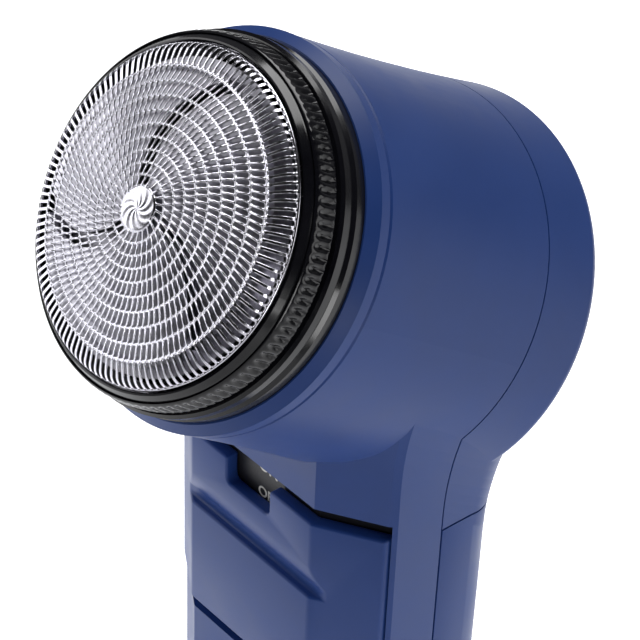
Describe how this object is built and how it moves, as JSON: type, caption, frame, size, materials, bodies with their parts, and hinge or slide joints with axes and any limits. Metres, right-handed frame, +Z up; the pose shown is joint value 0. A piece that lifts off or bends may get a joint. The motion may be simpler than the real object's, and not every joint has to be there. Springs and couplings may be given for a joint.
{
  "type": "electric shaver",
  "caption": "Cordless foil shaver with one round tilted head on an upright handle, a thumb slide switch, a removable foil head with a twist ring and a slide-off battery door.",
  "frame": {"origin": "middle of the flat base of the handle", "axes": "+Z up the handle, -Y out of the front, where the tilted head and the switch are; +X to the right when the shaver faces away from -Y"},
  "size_m": [0.053, 0.0664, 0.1201],
  "materials": {
    "blue_plastic": "satin moulded, fine texture",
    "black_gloss": "polished moulded",
    "black_satin": "satin moulded",
    "white_nylon": "natural nylon",
    "seal_rubber": "matt",
    "foil_steel": "bright, perforated by etching",
    "cutter_steel": "ground",
    "plated_steel": "nickel plated",
    "spring_steel": "nickel plated wire",
    "screw_steel": "zinc plated",
    "lamination_steel": "stacked sheet",
    "copper_wire": "enamelled",
    "bronze": "sintered",
    "brass": "sheet",
    "carbon": "pressed carbon",
    "ferrite": "sintered",
    "cell_jacket": "printed jacket, plain"
  },
  "bodies": {
    "housing": {"front_shell": "blue_plastic", "rear_shell": "blue_plastic", "head_collar": "blue_plastic", "switch_label": "black_satin", "switch_contacts": "brass", "battery_tray": "black_satin", "tray_screws": "screw_steel", "battery_left": "cell_jacket", "battery_right": "cell_jacket", "contact_bridge": "plated_steel", "contact_positive": "plated_steel", "contact_negative": "plated_steel", "spring_lower": "spring_steel", "spring_upper": "spring_steel", "motor_can": "plated_steel", "motor_end_cap": "white_nylon", "rear_bush": "bronze", "front_bush": "bronze", "motor_magnets": "ferrite", "motor_brushes": "carbon", "motor_terminals": "brass", "motor_bracket": "white_nylon", "bracket_screws": "screw_steel", "cutter_base": "black_gloss", "base_screws": "screw_steel", "shaft_seal": "seal_rubber"},
    "drive": {"motor_shaft": "plated_steel", "rotor_core": "lamination_steel", "rotor_windings": "copper_wire", "commutator": "copper_wire", "drive_hub": "white_nylon", "cutter_spring": "spring_steel", "cutter_carrier": "white_nylon", "cutter_disc": "cutter_steel", "cutter_blades": "cutter_steel"},
    "foil_head": {"foil": "foil_steel", "foil_frame": "black_gloss", "foil_retainer": "black_satin"},
    "lock_ring": {"lock_ring": "black_gloss"},
    "switch": {"switch_slider": "blue_plastic", "switch_link": "black_satin", "switch_bridge": "brass"},
    "battery_door": {"battery_door": "blue_plastic"}
  },
  "joints": [
    {"name": "cutter_spin", "type": "hinge", "parent": "housing", "child": "drive", "pos_m": [0, 0.016, 0.0761], "axis": [0, -0.8434, 0.5373], "continuous": true},
    {"name": "head_lift", "type": "slide", "parent": "housing", "child": "foil_head", "axis": [0, -0.8434, 0.5373], "range_m": [0, 0.02]},
    {"name": "ring_twist", "type": "hinge", "parent": "foil_head", "child": "lock_ring", "pos_m": [0, 0.016, 0.0761], "axis": [0, -0.8434, 0.5373], "range_deg": [0, 25]},
    {"name": "switch_slide", "type": "slide", "parent": "housing", "child": "switch", "axis": [0, 0, 1], "range_m": [0, 0.0022]},
    {"name": "door_slide", "type": "slide", "parent": "housing", "child": "battery_door", "axis": [0, 0, -1], "range_m": [0, 0.065]}
  ]
}
